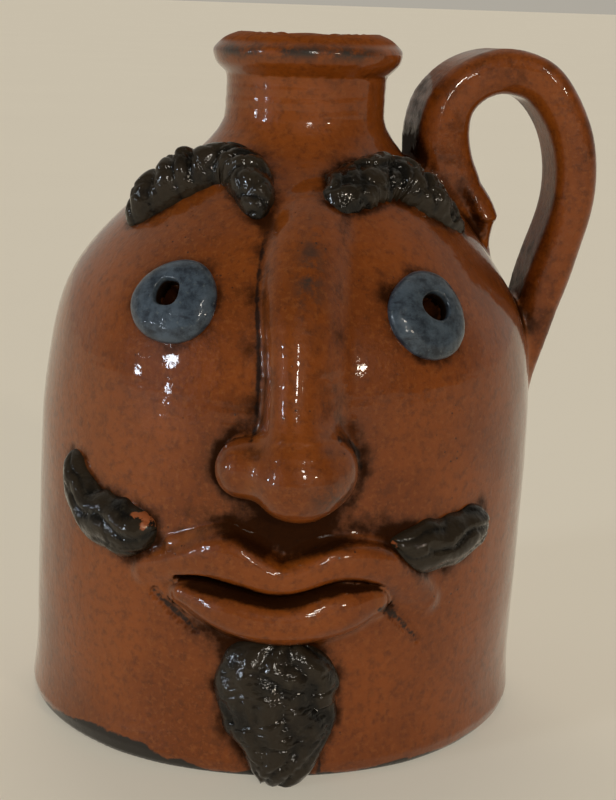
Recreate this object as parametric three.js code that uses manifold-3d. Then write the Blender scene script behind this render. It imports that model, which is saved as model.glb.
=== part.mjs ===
// A thrown clay jug with a face built onto its front and a strap handle at its side.
// Millimetres. +Z is up, the face looks along -Y, the handle is at +X, the foot stands on z = 0.
import * as THREE from "three";
import { mergeVertices } from "three/addons/utils/BufferGeometryUtils.js";
import Module from "manifold-3d";

const wasm = await Module();
wasm.setup();

// Vessel
const FOOT_R = 79;
const FOOT_BEVEL = 2.5;
const FOOT_FLARE = 0.9;
const SHOULDER_R = 78;
const SHOULDER_Z = 108;
const NECK_R = 24.9;
const CREASE_Z = 202.4;
const COLLAR_R = 29.6;
const COLLAR_Z = 209.6;
const RIM_Z = 215.5;
const MOUTH_R = 18.6;
const WALL = 6.2;
const BASE = 8;

// The jug dried leaning to its right, with a slumped shoulder and the neck set over
const LEAN = 0.0285;
const SLUMP = 2;
const SLUMP_Z = 146;
const NECK_SHIFT = 0.4;

// Handle
const STRAP_WIDTH = 26;
const STRAP_TURN_NEAR = 14;
const STRAP_TURN_FAR = 6;

// Face
const EYE_R = 13.4;
const EYE_HOLE_R = 3.8;
const EYE_RISE = 4.4;
const GAP = 0.3;
const SUNK = -3;

const rad = THREE.MathUtils.degToRad;
const smooth = THREE.MathUtils.smoothstep;

// Sideways place of the jug's own axis at a height
function axisX(z) {
  const slump = SLUMP * Math.exp(-(((z - SLUMP_Z) / 16) ** 2));
  return LEAN * z - slump + NECK_SHIFT * smooth(z, 168, 188);
}

// Outside of the wall from above the foot to the crease under the collar: radius, height
const wallCurve = new THREE.CatmullRomCurve3(
  [
    [FOOT_R + FOOT_FLARE, 5],
    [FOOT_R, 16],
    [FOOT_R, 45],
    [SHOULDER_R, SHOULDER_Z],
    [73, 132],
    [60.5, 152],
    [45.5, 168],
    [31, 180],
    [NECK_R + 0.6, 188],
    [NECK_R, 195],
    [NECK_R + 0.1, CREASE_Z],
  ].map(([r, z]) => new THREE.Vector3(r, 0, z)),
  false,
  "centripetal",
);
const wallFine = wallCurve.getPoints(400);

function wallRadius(z) {
  const above = wallFine.findIndex((p) => p.z >= z);
  if (above <= 0) return above === 0 ? wallFine[0].x : NECK_R;
  const a = wallFine[above - 1];
  const b = wallFine[above];
  return a.x + ((b.x - a.x) * (z - a.z)) / (b.z - a.z);
}

function wallSlope(z) {
  return wallRadius(z + 0.5) - wallRadius(z - 0.5);
}

// A point over the wall: degrees round from the front, height, and distance out from the clay
function onWall(degrees, z, out) {
  const slope = wallSlope(z);
  const tilt = 1 / Math.hypot(1, slope);
  const r = wallRadius(z) + out * tilt;
  const a = rad(degrees);
  return new THREE.Vector3(r * Math.sin(a), -r * Math.cos(a), z - out * tilt * slope);
}

// The same, from a middle point and millimetres across and up the clay
function nearby(degrees, z, across, up, out) {
  const height = z + up / Math.hypot(1, wallSlope(z));
  const turn = THREE.MathUtils.radToDeg(across / wallRadius(z));
  return onWall(degrees + turn, height, out);
}

// A closed lump whose rings run from t = 0 to 1, with each ring's points set by place(t, angle)
function lump(along, around, place) {
  const ball = new THREE.SphereGeometry(1, around, along);
  const at = ball.getAttribute("position");
  for (let i = 0; i < at.count; i++) {
    const t = Math.floor(i / (around + 1)) / along;
    const angle = (2 * Math.PI * (i % (around + 1) % around)) / around;
    const p = place(t, angle);
    at.setXYZ(i, p.x, p.y, p.z);
  }
  return ball;
}

// A roll of clay laid on the wall along a path of [degrees, height, half width, rise].
// A square below 1 makes its section boxier, and a tip above 0 leans its crest to the path's left.
function roll(stops, { along, around, base, relief = () => 1, square = 1, tip = 0 }) {
  const shaped = (v) => Math.sign(v) * Math.abs(v) ** square;
  const path = new THREE.CatmullRomCurve3(
    stops.map(([degrees, z]) => new THREE.Vector3(degrees, z, 0)),
    false,
    "centripetal",
  );
  const sizes = new THREE.CatmullRomCurve3(
    stops.map(([, , half, rise], i) => new THREE.Vector3(half, rise, i * 0.01)),
    false,
    "catmullrom",
    0.3,
  );
  return lump(along, around, (t, angle) => {
    const run = 0.5 - 0.5 * Math.cos(Math.PI * t) * (0.35 + 0.65 * Math.abs(Math.cos(Math.PI * t)));
    const mid = path.getPoint(run);
    const size = sizes.getPoint(run);
    const ahead = path.getTangent(run);
    const alongWall = rad(ahead.x) * wallRadius(mid.y);
    const upWall = ahead.y * Math.hypot(1, wallSlope(mid.y));
    const length = Math.hypot(alongWall, upWall);
    const end = Math.sqrt(Math.max(0, 1 - Math.abs(2 * run - 1) ** 7));
    const lift = size.y * end * shaped(Math.max(0, Math.sin(angle))) * relief(run, angle);
    const half = size.x * end * shaped(Math.cos(angle)) + tip * lift;
    const across = (-half * upWall) / length;
    const up = (half * alongWall) / length;
    return nearby(mid.x, mid.y, across, up, base + lift);
  });
}

// A pressed ball of clay: half sizes across, up and out
function dab(degrees, z, out, [across, up, high], along = 10, around = 10) {
  return lump(along, around, (t, angle) => {
    const ring = Math.sin(Math.PI * t);
    const x = across * ring * Math.cos(angle);
    const y = up * Math.cos(Math.PI * t);
    return nearby(degrees, z, x, y, out + high * ring * Math.sin(angle));
  });
}

// Revolves radius and height pairs about the upright axis
function turned(pairs, segments = 48) {
  const lathe = new THREE.LatheGeometry(pairs.map(([r, z]) => new THREE.Vector2(r, z)), segments);
  return lathe.rotateX(Math.PI / 2);
}

// A geometry as a solid for joining and cutting
function solid(geometry) {
  const bare = new THREE.BufferGeometry();
  bare.setAttribute("position", geometry.getAttribute("position"));
  bare.setIndex(geometry.index);
  const merged = mergeVertices(bare, 1e-4);
  const index = merged.index.array;
  const kept = [];
  for (let i = 0; i < index.length; i += 3) {
    const [a, b, c] = index.subarray(i, i + 3);
    if (a !== b && b !== c && c !== a) kept.push(a, b, c);
  }
  const vertProperties = merged.getAttribute("position").array;
  const make = (tris) =>
    new wasm.Manifold(new wasm.Mesh({ numProp: 3, vertProperties, triVerts: new Uint32Array(tris) }));
  const made = make(kept);
  return made.volume() > 0 ? made : make(kept.reverse());
}

// A solid as a named mesh, leaned over with the jug
function piece(name, body, colour, roughness) {
  const made = body.getMesh();
  const at = new Float32Array(made.vertProperties);
  for (let i = 0; i < at.length; i += 3) at[i] += axisX(at[i + 2]);
  const geometry = new THREE.BufferGeometry();
  geometry.setAttribute("position", new THREE.BufferAttribute(at, 3));
  geometry.setIndex(new THREE.BufferAttribute(made.triVerts, 1));
  geometry.computeVertexNormals();
  const material = new THREE.MeshStandardMaterial({ color: colour, roughness, metalness: 0 });
  const mesh = new THREE.Mesh(geometry, material);
  mesh.name = name;
  return mesh;
}

// Thrown body: a full turned shape, with its hollow cut after the handle and face are on
const heights = [16, 60, 100, 114, 126, 136, 145, 153, 161, 168, 175, 181, 187, 195, CREASE_Z];
const collarSteps = 7;
const collar = new THREE.SplineCurve(
  [
    [NECK_R + 0.1, CREASE_Z],
    [COLLAR_R - 2.2, 205.4],
    [COLLAR_R, COLLAR_Z],
    [COLLAR_R - 3, 213],
    [MOUTH_R + 2.6, RIM_Z],
  ].map(([r, z]) => new THREE.Vector2(r, z)),
);
const outside = [
  [0, 0],
  [FOOT_R - FOOT_BEVEL, 0],
  [FOOT_R - 0.4, 1.4],
  [FOOT_R + FOOT_FLARE, 5],
  ...heights.map((z) => [wallRadius(z), z]),
  ...collar.getPoints(collarSteps).slice(1).map((p) => [p.x, p.y]),
  [0, RIM_Z],
];

const inside = [[0, BASE], [FOOT_R - WALL - 7, BASE], [FOOT_R - WALL - 1.5, BASE + 3]];
for (const z of [18, 104, 122, 138, 151, 163, 174, 183, 192]) {
  const p = onWall(90, z, -WALL);
  inside.push([Math.max(p.x, MOUTH_R), p.z]);
}
inside.push([MOUTH_R, RIM_Z - 4], [MOUTH_R + 0.4, RIM_Z - 1], [MOUTH_R + 1.2, RIM_Z + 0.4]);
inside.push([MOUTH_R + 1.2, RIM_Z + 3], [0, RIM_Z + 3]);

// Strap handle in its own upright plane: distance out from the axis, height, half thickness
const strap = [
  [61, 148, 2],
  [55, 159.5, 6.6],
  [49.5, 168, 8.4],
  [45.6, 176.5, 8.8],
  [44.2, 186, 8.6],
  [46.2, 195, 8],
  [52.8, 202, 7.4],
  [62, 205.2, 7.2],
  [73.2, 202.4, 7],
  [81.8, 192.5, 6.8],
  [87.2, 178, 6.8],
  [88.2, 162, 6.8],
  [85.2, 145, 6.8],
  [80.6, 131, 6],
  [77.8, 117, 4.4],
  [76.2, 102, 2],
];
const strapPath = new THREE.CatmullRomCurve3(
  strap.map(([out, z]) => new THREE.Vector3(out, 0, z)),
  false,
  "centripetal",
);
const strapThick = new THREE.CatmullRomCurve3(
  strap.map(([, , half], i) => new THREE.Vector3(half, 0, i * 0.01)),
  false,
  "catmullrom",
  0.3,
);
const handle = lump(30, 12, (t, angle) => {
  const mid = strapPath.getPoint(t);
  const ahead = strapPath.getTangent(t);
  const thick = strapThick.getPoint(t).x;
  const round = (v) => Math.sign(v) * Math.abs(v) ** 0.62;
  const inward = thick * round(Math.cos(angle));
  const end = t === 0 || t === 1 ? 0 : 1;
  const wide = end * (STRAP_WIDTH / 2) * (0.8 + 0.2 * smooth(thick, 4, 7)) * round(Math.sin(angle));
  const out = mid.x + end * inward * ahead.z;
  const far = smooth(Math.hypot(out, wide), 48, 84);
  const turn = rad(STRAP_TURN_NEAR + (STRAP_TURN_FAR - STRAP_TURN_NEAR) * far);
  const across = out * Math.cos(turn) - wide * Math.sin(turn);
  const deep = out * Math.sin(turn) + wide * Math.cos(turn);
  return new THREE.Vector3(across, deep, mid.z - end * inward * ahead.x);
});

// Nose: a bridge with a softer right side, rising to a ball with a wing at each side
function nose(grow) {
  const bridge = roll(
    [
      [3.4, 171, 5 + grow, 2 + grow],
      [3, 159, 10.8 + grow, 7 + grow],
      [2.5, 142, 11.2 + grow, 9.8 + grow],
      [1.5, 126, 10 + grow, 11.8 + grow],
      [1.2, 115, 9.6 + grow, 14 + grow],
      [1.6, 104, 10.4 + grow, 16.8 + grow],
      [2.2, 92, 8 + grow, 16 + grow],
    ],
    { along: 15, around: 12, base: SUNK },
  );
  const side = roll(
    [
      [8.5, 164, 5 + grow, 2.6 + grow],
      [7.2, 142, 7 + grow, 5.6 + grow],
      [6.4, 125, 6.8 + grow, 6.6 + grow],
      [6.2, 106, 7 + grow, 8 + grow],
    ],
    { along: 8, around: 8, base: SUNK },
  );
  const ball = dab(2.7, 94.4, 7.2, [12.4 + grow, 12 + grow, 12.6 + grow], 12, 14);
  const left = dab(-8, 96.6, 3.6, [8.4 + grow, 9 + grow, 8.6 + grow]);
  const right = dab(9.4, 96.4, 3.6, [6.9 + grow, 8.8 + grow, 8.2 + grow]);
  return [bridge, side, ball, left, right].map(solid).reduce((a, b) => a.add(b));
}

// Lips: the upper one is bowed like an M with its crest high, the lower one sags
function lips(grow) {
  const upper = roll(
    [
      [-30, 60.8, 3 + grow, 2.5 + grow],
      [-20, 66, 5.4 + grow, 7.2 + grow],
      [-11, 68.8, 8 + grow, 10 + grow],
      [0.4, 63.4, 5.8 + grow, 10.2 + grow],
      [11, 68.2, 6.4 + grow, 10.4 + grow],
      [19, 67.2, 6.6 + grow, 9.2 + grow],
      [27.5, 60.6, 5.6 + grow, 6.2 + grow],
      [34.5, 53, 3 + grow, 2.5 + grow],
    ],
    { along: 22, around: 10, base: SUNK, square: 0.76, tip: 0.16 },
  );
  const lower = roll(
    [
      [-20.5, 56.2, 3.2 + grow, 5 + grow],
      [-11, 52.8, 6.6 + grow, 9.8 + grow],
      [0.5, 50, 7.4 + grow, 11.2 + grow],
      [13.4, 53.8, 8 + grow, 10.4 + grow],
      [19.8, 55.8, 5.8 + grow, 7 + grow],
    ],
    { along: 16, around: 10, base: SUNK, square: 0.84, tip: 0.12 },
  );
  return solid(upper).add(solid(lower));
}

// The mouth gapes at the left and closes to a line at the right
const slit = roll(
  [
    [-21.5, 61.4, 1.1, 7],
    [-15.5, 62, 1.7, 10],
    [-9, 60.4, 1.4, 11],
    [0, 58.4, 1, 11],
    [8, 61.2, 0.9, 11],
    [14, 63, 0.8, 11],
    [20.5, 61, 0.7, 7],
  ],
  { along: 14, around: 8, base: SUNK - 0.2 },
);

const jug = solid(turned(outside))
  .add(solid(handle))
  .add(nose(0))
  .add(lips(0))
  .subtract(solid(turned(inside)))
  .subtract(solid(slit));
const keepClear = nose(GAP).add(lips(GAP));

// Eye: a flat-domed disc bent onto the wall, with a hole that sits off its middle
function eye(degrees, z, hole) {
  const ring = [];
  const steps = 5;
  for (let i = 0; i <= steps; i++) {
    const a = (Math.PI * i) / steps;
    const mid = (EYE_R + EYE_HOLE_R) / 2;
    const half = (EYE_R - EYE_HOLE_R) / 2;
    const rise = GAP + 1.2 + (EYE_RISE - 1.2) * Math.sin(a) ** 0.5;
    ring.push([mid + half * Math.cos(a), rise]);
  }
  ring.unshift([EYE_R - 0.3, GAP]);
  ring.push([EYE_HOLE_R + 0.2, GAP], ring[0]);
  const flat = turned(ring, 22);
  const at = flat.getAttribute("position");
  for (let i = 0; i < at.count; i++) {
    const [x, y] = [at.getX(i), at.getY(i)];
    const shift = (EYE_R - Math.hypot(x, y)) / (EYE_R - EYE_HOLE_R);
    const p = nearby(degrees, z, x + hole[0] * shift, y + hole[1] * shift, at.getZ(i));
    at.setXYZ(i, p.x, p.y, p.z);
  }
  return solid(flat);
}

// Eyebrows: a twisted roll on the left, a flatter ragged one on the right
const twist = (t, angle) => 0.8 + 0.2 * Math.abs(Math.cos(Math.PI * (7.5 * t) + 0.9 * Math.cos(angle)));
const ragged = (t, angle) => 0.86 + 0.14 * Math.cos(Math.PI * (9 * t) - 2.2 * Math.cos(angle));
const leftBrow = roll(
  [
    [-11.8, 163, 5.4, 7],
    [-19, 170.6, 7, 8.2],
    [-31, 175.2, 7.4, 9],
    [-43, 174.2, 7.6, 10],
    [-52, 169.8, 7.4, 11],
    [-58.5, 163.6, 6.8, 10.2],
    [-63, 156.8, 6, 7.4],
  ],
  { along: 32, around: 10, base: GAP, relief: twist },
);
const rightBrow = roll(
  [
    [7.4, 169.2, 2.4, 3],
    [13.5, 169.4, 7.8, 5.6],
    [25, 172.2, 9.2, 6.8],
    [38, 173.6, 9, 7.4],
    [49, 172, 8.6, 8],
    [58, 166, 7, 7],
    [69, 156.6, 3.2, 3.4],
  ],
  { along: 30, around: 10, base: GAP, relief: ragged },
);

// Moustache tufts and beard: rolls combed lengthwise into locks
const combed = (t, angle) => 0.86 + 0.14 * Math.cos(5 * angle + 3 * t);
const leftTuft = roll(
  [
    [-54, 91.2, 4.4, 4.4],
    [-50.6, 82.6, 5.8, 5.8],
    [-44.4, 75, 8.4, 7],
    [-35, 72.6, 9, 7.2],
    [-27.2, 74.5, 5.4, 5],
  ],
  { along: 16, around: 12, base: GAP, relief: combed },
);
const rightTuft = roll(
  [
    [23, 73.2, 2.4, 3.4],
    [30, 70.4, 8, 6.4],
    [38, 70.2, 8.4, 7],
    [45.5, 72.8, 7.6, 6.4],
    [50.8, 75.8, 5.8, 4.6],
  ],
  { along: 16, around: 12, base: GAP, relief: combed },
);
const beard = roll(
  [
    [1.6, 45.5, 12.8, 6.4],
    [0.9, 36, 17.8, 8.8],
    [1, 27, 18.2, 9.6],
    [2, 18, 16.6, 10],
    [2, 9.5, 13, 10],
    [-0.2, 1, 8.8, 9.6],
  ],
  { along: 20, around: 14, base: GAP, relief: combed },
);

const group = new THREE.Group();
group.add(piece("jug", jug, "#8a4a26", 0.2));
group.add(piece("left_eye", eye(-28.6, 139.6, [-1, 1.4]), "#3e4a5a", 0.2));
group.add(piece("right_eye", eye(34.8, 137.6, [1.6, 1.4]), "#3e4a5a", 0.2));
group.add(piece("left_eyebrow", solid(leftBrow).subtract(keepClear), "#23201c", 0.25));
group.add(piece("right_eyebrow", solid(rightBrow).subtract(keepClear), "#23201c", 0.25));
group.add(piece("left_moustache", solid(leftTuft).subtract(keepClear), "#23201c", 0.25));
group.add(piece("right_moustache", solid(rightTuft).subtract(keepClear), "#23201c", 0.25));
group.add(piece("goatee", solid(beard).subtract(keepClear), "#23201c", 0.25));

export default group;
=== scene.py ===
import math

import bpy
import numpy as np
from mathutils import Matrix
from mathutils.kdtree import KDTree


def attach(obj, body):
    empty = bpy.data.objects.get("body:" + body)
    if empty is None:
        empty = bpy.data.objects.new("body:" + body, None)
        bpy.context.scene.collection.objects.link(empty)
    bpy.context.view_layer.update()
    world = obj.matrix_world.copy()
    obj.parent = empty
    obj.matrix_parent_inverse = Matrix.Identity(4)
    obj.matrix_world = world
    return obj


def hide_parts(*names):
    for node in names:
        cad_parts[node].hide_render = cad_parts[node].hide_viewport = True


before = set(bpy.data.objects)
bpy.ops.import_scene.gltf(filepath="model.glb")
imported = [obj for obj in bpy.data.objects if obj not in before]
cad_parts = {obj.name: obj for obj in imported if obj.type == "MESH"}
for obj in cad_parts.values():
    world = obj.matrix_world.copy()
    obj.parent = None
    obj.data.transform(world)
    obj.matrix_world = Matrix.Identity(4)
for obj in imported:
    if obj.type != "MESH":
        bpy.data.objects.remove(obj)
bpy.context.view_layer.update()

# Sizes in millimetres, the same as the solids
FOOT_R = 79.0
FOOT_FLARE = 0.9
NECK_R = 24.9
CREASE_Z = 202.4
COLLAR_R = 29.6
COLLAR_Z = 209.6
RIM_Z = 215.5
MOUTH_R = 18.6
WALL = 6.2
BASE = 8.0
LEAN = 0.0285
SLUMP = 2.0
SLUMP_Z = 146.0
SLUMP_SPAN = 16.0
NECK_SHIFT = 0.4
NECK_SHIFT_Z = (168.0, 188.0)
STRAP_TURN_NEAR = math.radians(14)
STRAP_TURN_FAR = math.radians(6)
EYE_R = 13.4
EYE_HOLE_R = 3.8
EYE_RISE = 4.4
LIP_DROOP_DEPTH = 14.0

# What only the dressed jug has: its tilted rim, clay that sinks into the wall, a lining for the hollow
RIM_TILT = 0.024
RIM_TILT_Z = (196.0, 209.0)
HAIR_BASE = -1.0
BORE_FROM_Z = 176.0
BORE_SKIN_Z = (150.0, 199.0)
LINING_TOP_Z = 201.0
LINING_AROUND = 96

# How far each form melts into what it is laid on
MELT = {
    "handle": 4.0,
    "bridge": 6.0,
    "ball": 7.0,
    "wing": 5.0,
    "nose_left": 1.8,
    "nose_right": 4.6,
    "fold": 1.4,
    "lip_to_lip": 0.8,
    "lips": 3.4,
    "slit": 0.8,
    "pupil": 0.5,
    "dent": 0.6,
    "bore": 1.2,
}

# Unevenness of the hand-worked clay: size of its lumps, height, seed
JUG_ROUGH = ((24, 0.24, 1), (8, 0.08, 2))
ROLL_ROUGH = ((3.4, 0.2, 6), (1.4, 0.07, 7))
EYE_ROUGH = ((4.5, 0.16, 5), (1.8, 0.07, 8))

# Spacing of the skin's points over the face, the handle and the rest, and upwards
FACE_STEP = 1.1
STRAP_STEP = 1.5
REST_STEP = 2.4
UP_STEP = 1.2

# Look-up tables over radius and height, and over the unrolled wall
TABLE_STEP = 0.5
TABLE_R = 118.0
TABLE_Z = (-8.0, 226.0)
CHART_A = (-84.0, 84.0)
CHART_S = (0.0, 300.0)


def smoothstep(x, low, high):
    """A soft step from 0 at low to 1 at high."""
    t = np.clip((x - low) / (high - low), 0, 1)
    return t * t * (3 - 2 * t)


def axis_x(z):
    """Sideways place of the jug's own leaning axis at a height."""
    slump = SLUMP * np.exp(-(((z - SLUMP_Z) / SLUMP_SPAN) ** 2))
    return LEAN * z - slump + NECK_SHIFT * smoothstep(z, *NECK_SHIFT_Z)


def spline(stops, count):
    """Samples of a smooth curve through the stops."""
    p = np.asarray(stops, float)
    last = len(p) - 2
    p = np.vstack([2 * p[0] - p[1], p, 2 * p[-1] - p[-2]])
    gap = np.sqrt(np.linalg.norm(np.diff(p, axis=0), axis=1))[:, None]
    t = np.linspace(0, last + 1, count)
    i = np.minimum(t.astype(int), last)
    w = (t - i)[:, None]
    p0, p1, p2, p3 = p[i], p[i + 1], p[i + 2], p[i + 3]
    g0, g1, g2 = gap[i], gap[i + 1], gap[i + 2]
    m1 = ((p1 - p0) / g0 - (p2 - p0) / (g0 + g1) + (p2 - p1) / g1) * g1
    m2 = ((p2 - p1) / g1 - (p3 - p1) / (g1 + g2) + (p3 - p2) / g2) * g1
    rise = (2 * w**3 - 3 * w**2 + 1) * p1 + (3 * w**2 - 2 * w**3) * p2
    return rise + (w**3 - 2 * w**2 + w) * m1 + (w**3 - w**2) * m2


def run_of(line):
    """Length along a polyline at each of its points."""
    steps = np.linalg.norm(np.diff(line, axis=0), axis=1)
    return np.concatenate([[0.0], np.cumsum(steps)])


def to_line(px, py, line):
    """Distance from points to a flat polyline, and how far along it the nearest place is."""
    best = np.full(px.shape, 1e9)
    place = np.zeros(px.shape)
    run = run_of(line)
    for k in range(len(line) - 1):
        ax, ay = line[k]
        ex, ey = line[k + 1] - line[k]
        t = np.clip(((px - ax) * ex + (py - ay) * ey) / (ex * ex + ey * ey), 0, 1)
        d = (px - ax - t * ex) ** 2 + (py - ay - t * ey) ** 2
        near = d < best
        best[near] = d[near]
        place[near] = run[k] + t[near] * (run[k + 1] - run[k])
    return np.sqrt(best), place


def look_up(table, x, y, x0, y0):
    """Reads a table between its points."""
    fx = np.clip((x - x0) / TABLE_STEP, 0, table.shape[0] - 1.001)
    fy = np.clip((y - y0) / TABLE_STEP, 0, table.shape[1] - 1.001)
    i = fx.astype(np.int32)
    j = fy.astype(np.int32)
    u = fx - i
    v = fy - j
    low = table[i, j] * (1 - u) + table[i + 1, j] * u
    high = table[i, j + 1] * (1 - u) + table[i + 1, j + 1] * u
    return low * (1 - v) + high * v


def smin(a, b, k):
    """The nearer of two distances, melted together over k."""
    h = np.clip(0.5 + 0.5 * (b - a) / k, 0, 1)
    return b * (1 - h) + a * h - k * h * (1 - h)


def smax(a, b, k):
    """The farther of two distances, melted together over k."""
    return -smin(-a, -b, k)


def scatter(i, j, k, seed):
    """A random value from -1 to 1 for each whole-number place."""
    h = i * 374761393 + j * 668265263 + k * 2147483647 + seed * 974634533
    h = (h ^ (h >> 13)) * 1274126177
    return ((h ^ (h >> 16)) & 65535) / 32767.5 - 1


def noise(points, size, seed):
    """Smooth random values from -1 to 1 over points, with lumps of that size."""
    q = np.asarray(points) / size + 1000.0
    cell = np.floor(q).astype(np.int64)
    f = q - cell
    f = f * f * (3 - 2 * f)
    total = np.zeros(len(q))
    for dx in (0, 1):
        for dy in (0, 1):
            for dz in (0, 1):
                value = scatter(cell[:, 0] + dx, cell[:, 1] + dy, cell[:, 2] + dz, seed)
                wx = f[:, 0] if dx else 1 - f[:, 0]
                wy = f[:, 1] if dy else 1 - f[:, 1]
                wz = f[:, 2] if dz else 1 - f[:, 2]
                total += value * wx * wy * wz
    return total


def rough(points, grades):
    """Noise of several sizes, added up."""
    return sum(height * noise(points, size, seed) for size, height, seed in grades)


def cells(u, v, seed):
    """Uneven cells over a plane: how far each place is from a seam, and each cell's own level."""
    home_u = np.floor(u).astype(np.int64)
    home_v = np.floor(v).astype(np.int64)
    first = np.full(u.shape, 9.0)
    second = np.full(u.shape, 9.0)
    level = np.zeros(u.shape)
    for du in (-1, 0, 1):
        for dv in (-1, 0, 1):
            i = home_u + du
            j = home_v + dv
            middle_u = i + 0.5 + 0.42 * scatter(i, j, 0, seed)
            middle_v = j + 0.5 + 0.42 * scatter(i, j, 1, seed)
            away = np.hypot(u - middle_u, v - middle_v)
            closer = away < first
            second = np.where(closer, first, np.minimum(second, away))
            level = np.where(closer, scatter(i, j, 2, seed), level)
            first = np.minimum(first, away)
    return second - first, level


# Outside of the jug from the foot's edge to the rim: radius, height
WALL_LINE = spline(
    [
        [FOOT_R + FOOT_FLARE, 5],
        [FOOT_R, 16],
        [FOOT_R, 45],
        [78, 108],
        [73, 132],
        [60.5, 152],
        [45.5, 168],
        [31, 180],
        [NECK_R + 0.6, 188],
        [NECK_R, 195],
        [NECK_R + 0.1, CREASE_Z],
    ],
    140,
)
COLLAR = spline(
    [
        [NECK_R + 0.1, CREASE_Z],
        [COLLAR_R - 1.0, 206.0],
        [COLLAR_R, COLLAR_Z],
        [COLLAR_R - 3.0, 213],
        [MOUTH_R + 2.6, RIM_Z],
    ],
    26,
)
FOOT = np.array([[0, 0], [FOOT_R - 2.8, 0], [FOOT_R - 1.2, 0.5], [FOOT_R - 0.1, 2.0]])
OUTSIDE = np.vstack([FOOT, WALL_LINE, COLLAR[1:], [[MOUTH_R + 1.5, RIM_Z], [0, RIM_Z]]])
SIDE = OUTSIDE[2:-1]
SIDE_RUN = run_of(SIDE)

# The hollow, from the middle of its floor to past the rim
wall_dir = np.gradient(WALL_LINE, axis=0)
wall_dir /= np.linalg.norm(wall_dir, axis=1)[:, None]
offset = WALL_LINE + WALL * np.stack([-wall_dir[:, 1], wall_dir[:, 0]], axis=1)
offset = offset[(offset[:, 1] > 14) & (offset[:, 1] < 196)]
offset[:, 0] = np.maximum(offset[:, 0], MOUTH_R)
HOLLOW = np.vstack(
    [
        [[0, BASE], [FOOT_R - WALL - 6, BASE], [FOOT_R - WALL - 1, BASE + 4]],
        offset,
        [[MOUTH_R, RIM_Z - 5], [MOUTH_R + 0.7, RIM_Z - 1.6], [MOUTH_R + 2.6, RIM_Z + 0.3]],
        [[MOUTH_R + 2.6, RIM_Z + 4]],
    ]
)

grid_r, grid_z = np.meshgrid(
    np.arange(0, TABLE_R, TABLE_STEP), np.arange(TABLE_Z[0], TABLE_Z[1], TABLE_STEP), indexing="ij"
)
distance, _ = to_line(grid_r, grid_z, OUTSIDE)
within = (grid_r < np.interp(grid_z, SIDE[:, 1], SIDE[:, 0])) & (grid_z > 0) & (grid_z < RIM_Z)
BODY = np.where(within, -distance, distance)
_, PLACE = to_line(grid_r, grid_z, SIDE)
distance, _ = to_line(grid_r, grid_z, HOLLOW)
within = (grid_r < np.interp(grid_z, HOLLOW[1:, 1], HOLLOW[1:, 0])) & (grid_z > BASE)
NECK_BORE = np.maximum(np.where(within, -distance, distance), BORE_FROM_Z - grid_z)

SIDE_DIR = np.gradient(SIDE, SIDE_RUN, axis=0)
SIDE_DIR /= np.linalg.norm(SIDE_DIR, axis=1)[:, None]


def side_at(s):
    """Radius, height and outward direction of the wall at a length up its side."""
    r = np.interp(s, SIDE_RUN, SIDE[:, 0])
    z = np.interp(s, SIDE_RUN, SIDE[:, 1])
    out_r = np.interp(s, SIDE_RUN, SIDE_DIR[:, 1])
    out_z = -np.interp(s, SIDE_RUN, SIDE_DIR[:, 0])
    return r, z, out_r, out_z


def side_of(z):
    """Length up the wall's side at a height."""
    return np.interp(z, SIDE[:, 1], SIDE_RUN)


def on_wall(angle, s, out):
    """Points over the wall: radians round from the front, length up the side, distance out."""
    r, z, out_r, out_z = side_at(s)
    far = r + out * out_r
    return np.stack([far * np.sin(angle), -far * np.cos(angle), z + out * out_z], axis=-1)


def chart(degrees, z):
    """The unrolled wall's place across and up for an angle from the front and a height."""
    s = side_of(np.asarray(z, float))
    return np.radians(degrees) * side_at(s)[0], s


class Roll:
    """A roll of clay on the unrolled wall: stops of degrees, height, half width, rise."""

    def __init__(self, stops, base, square=2.0, tip=0.0):
        fine = spline(stops, 48)
        a, s = chart(fine[:, 0], fine[:, 1])
        line = np.stack([a, s], axis=1)
        grid_a, grid_s = np.meshgrid(
            np.arange(*CHART_A, TABLE_STEP), np.arange(*CHART_S, TABLE_STEP), indexing="ij"
        )
        self.away, place = to_line(grid_a, grid_s, line)
        self.half = np.interp(place, run_of(line), fine[:, 2])
        self.rise = np.interp(place, run_of(line), fine[:, 3])
        self.base = base
        self.square = square
        self.tip = tip

    def __call__(self, a, s, h):
        s = s - self.tip * np.clip(h, 0, LIP_DROOP_DEPTH)
        away, half, rise = (
            look_up(t, a, s, CHART_A[0], CHART_S[0]) for t in (self.away, self.half, self.rise)
        )
        return oval((away, h - self.base), (half, rise), self.square)


def oval(offsets, sizes, square=2.0):
    """Distance to a stretched ball, boxier as square grows past 2."""
    parts = [np.maximum(np.abs(o), 1e-3) / size for o, size in zip(offsets, sizes)]
    k0 = sum(q**square for q in parts) ** (1 / square)
    slope = np.sqrt(sum((q ** (square - 1) / size) ** 2 for q, size in zip(parts, sizes)))
    return (k0 - 1) * k0 ** (square - 1) / np.maximum(slope, 1e-6)


def dab(degrees, z, out, sizes):
    """A pressed ball of clay on the wall."""
    a0, s0 = chart(degrees, z)
    return lambda a, s, h: oval((a - a0, s - s0, h - out), sizes)


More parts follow.
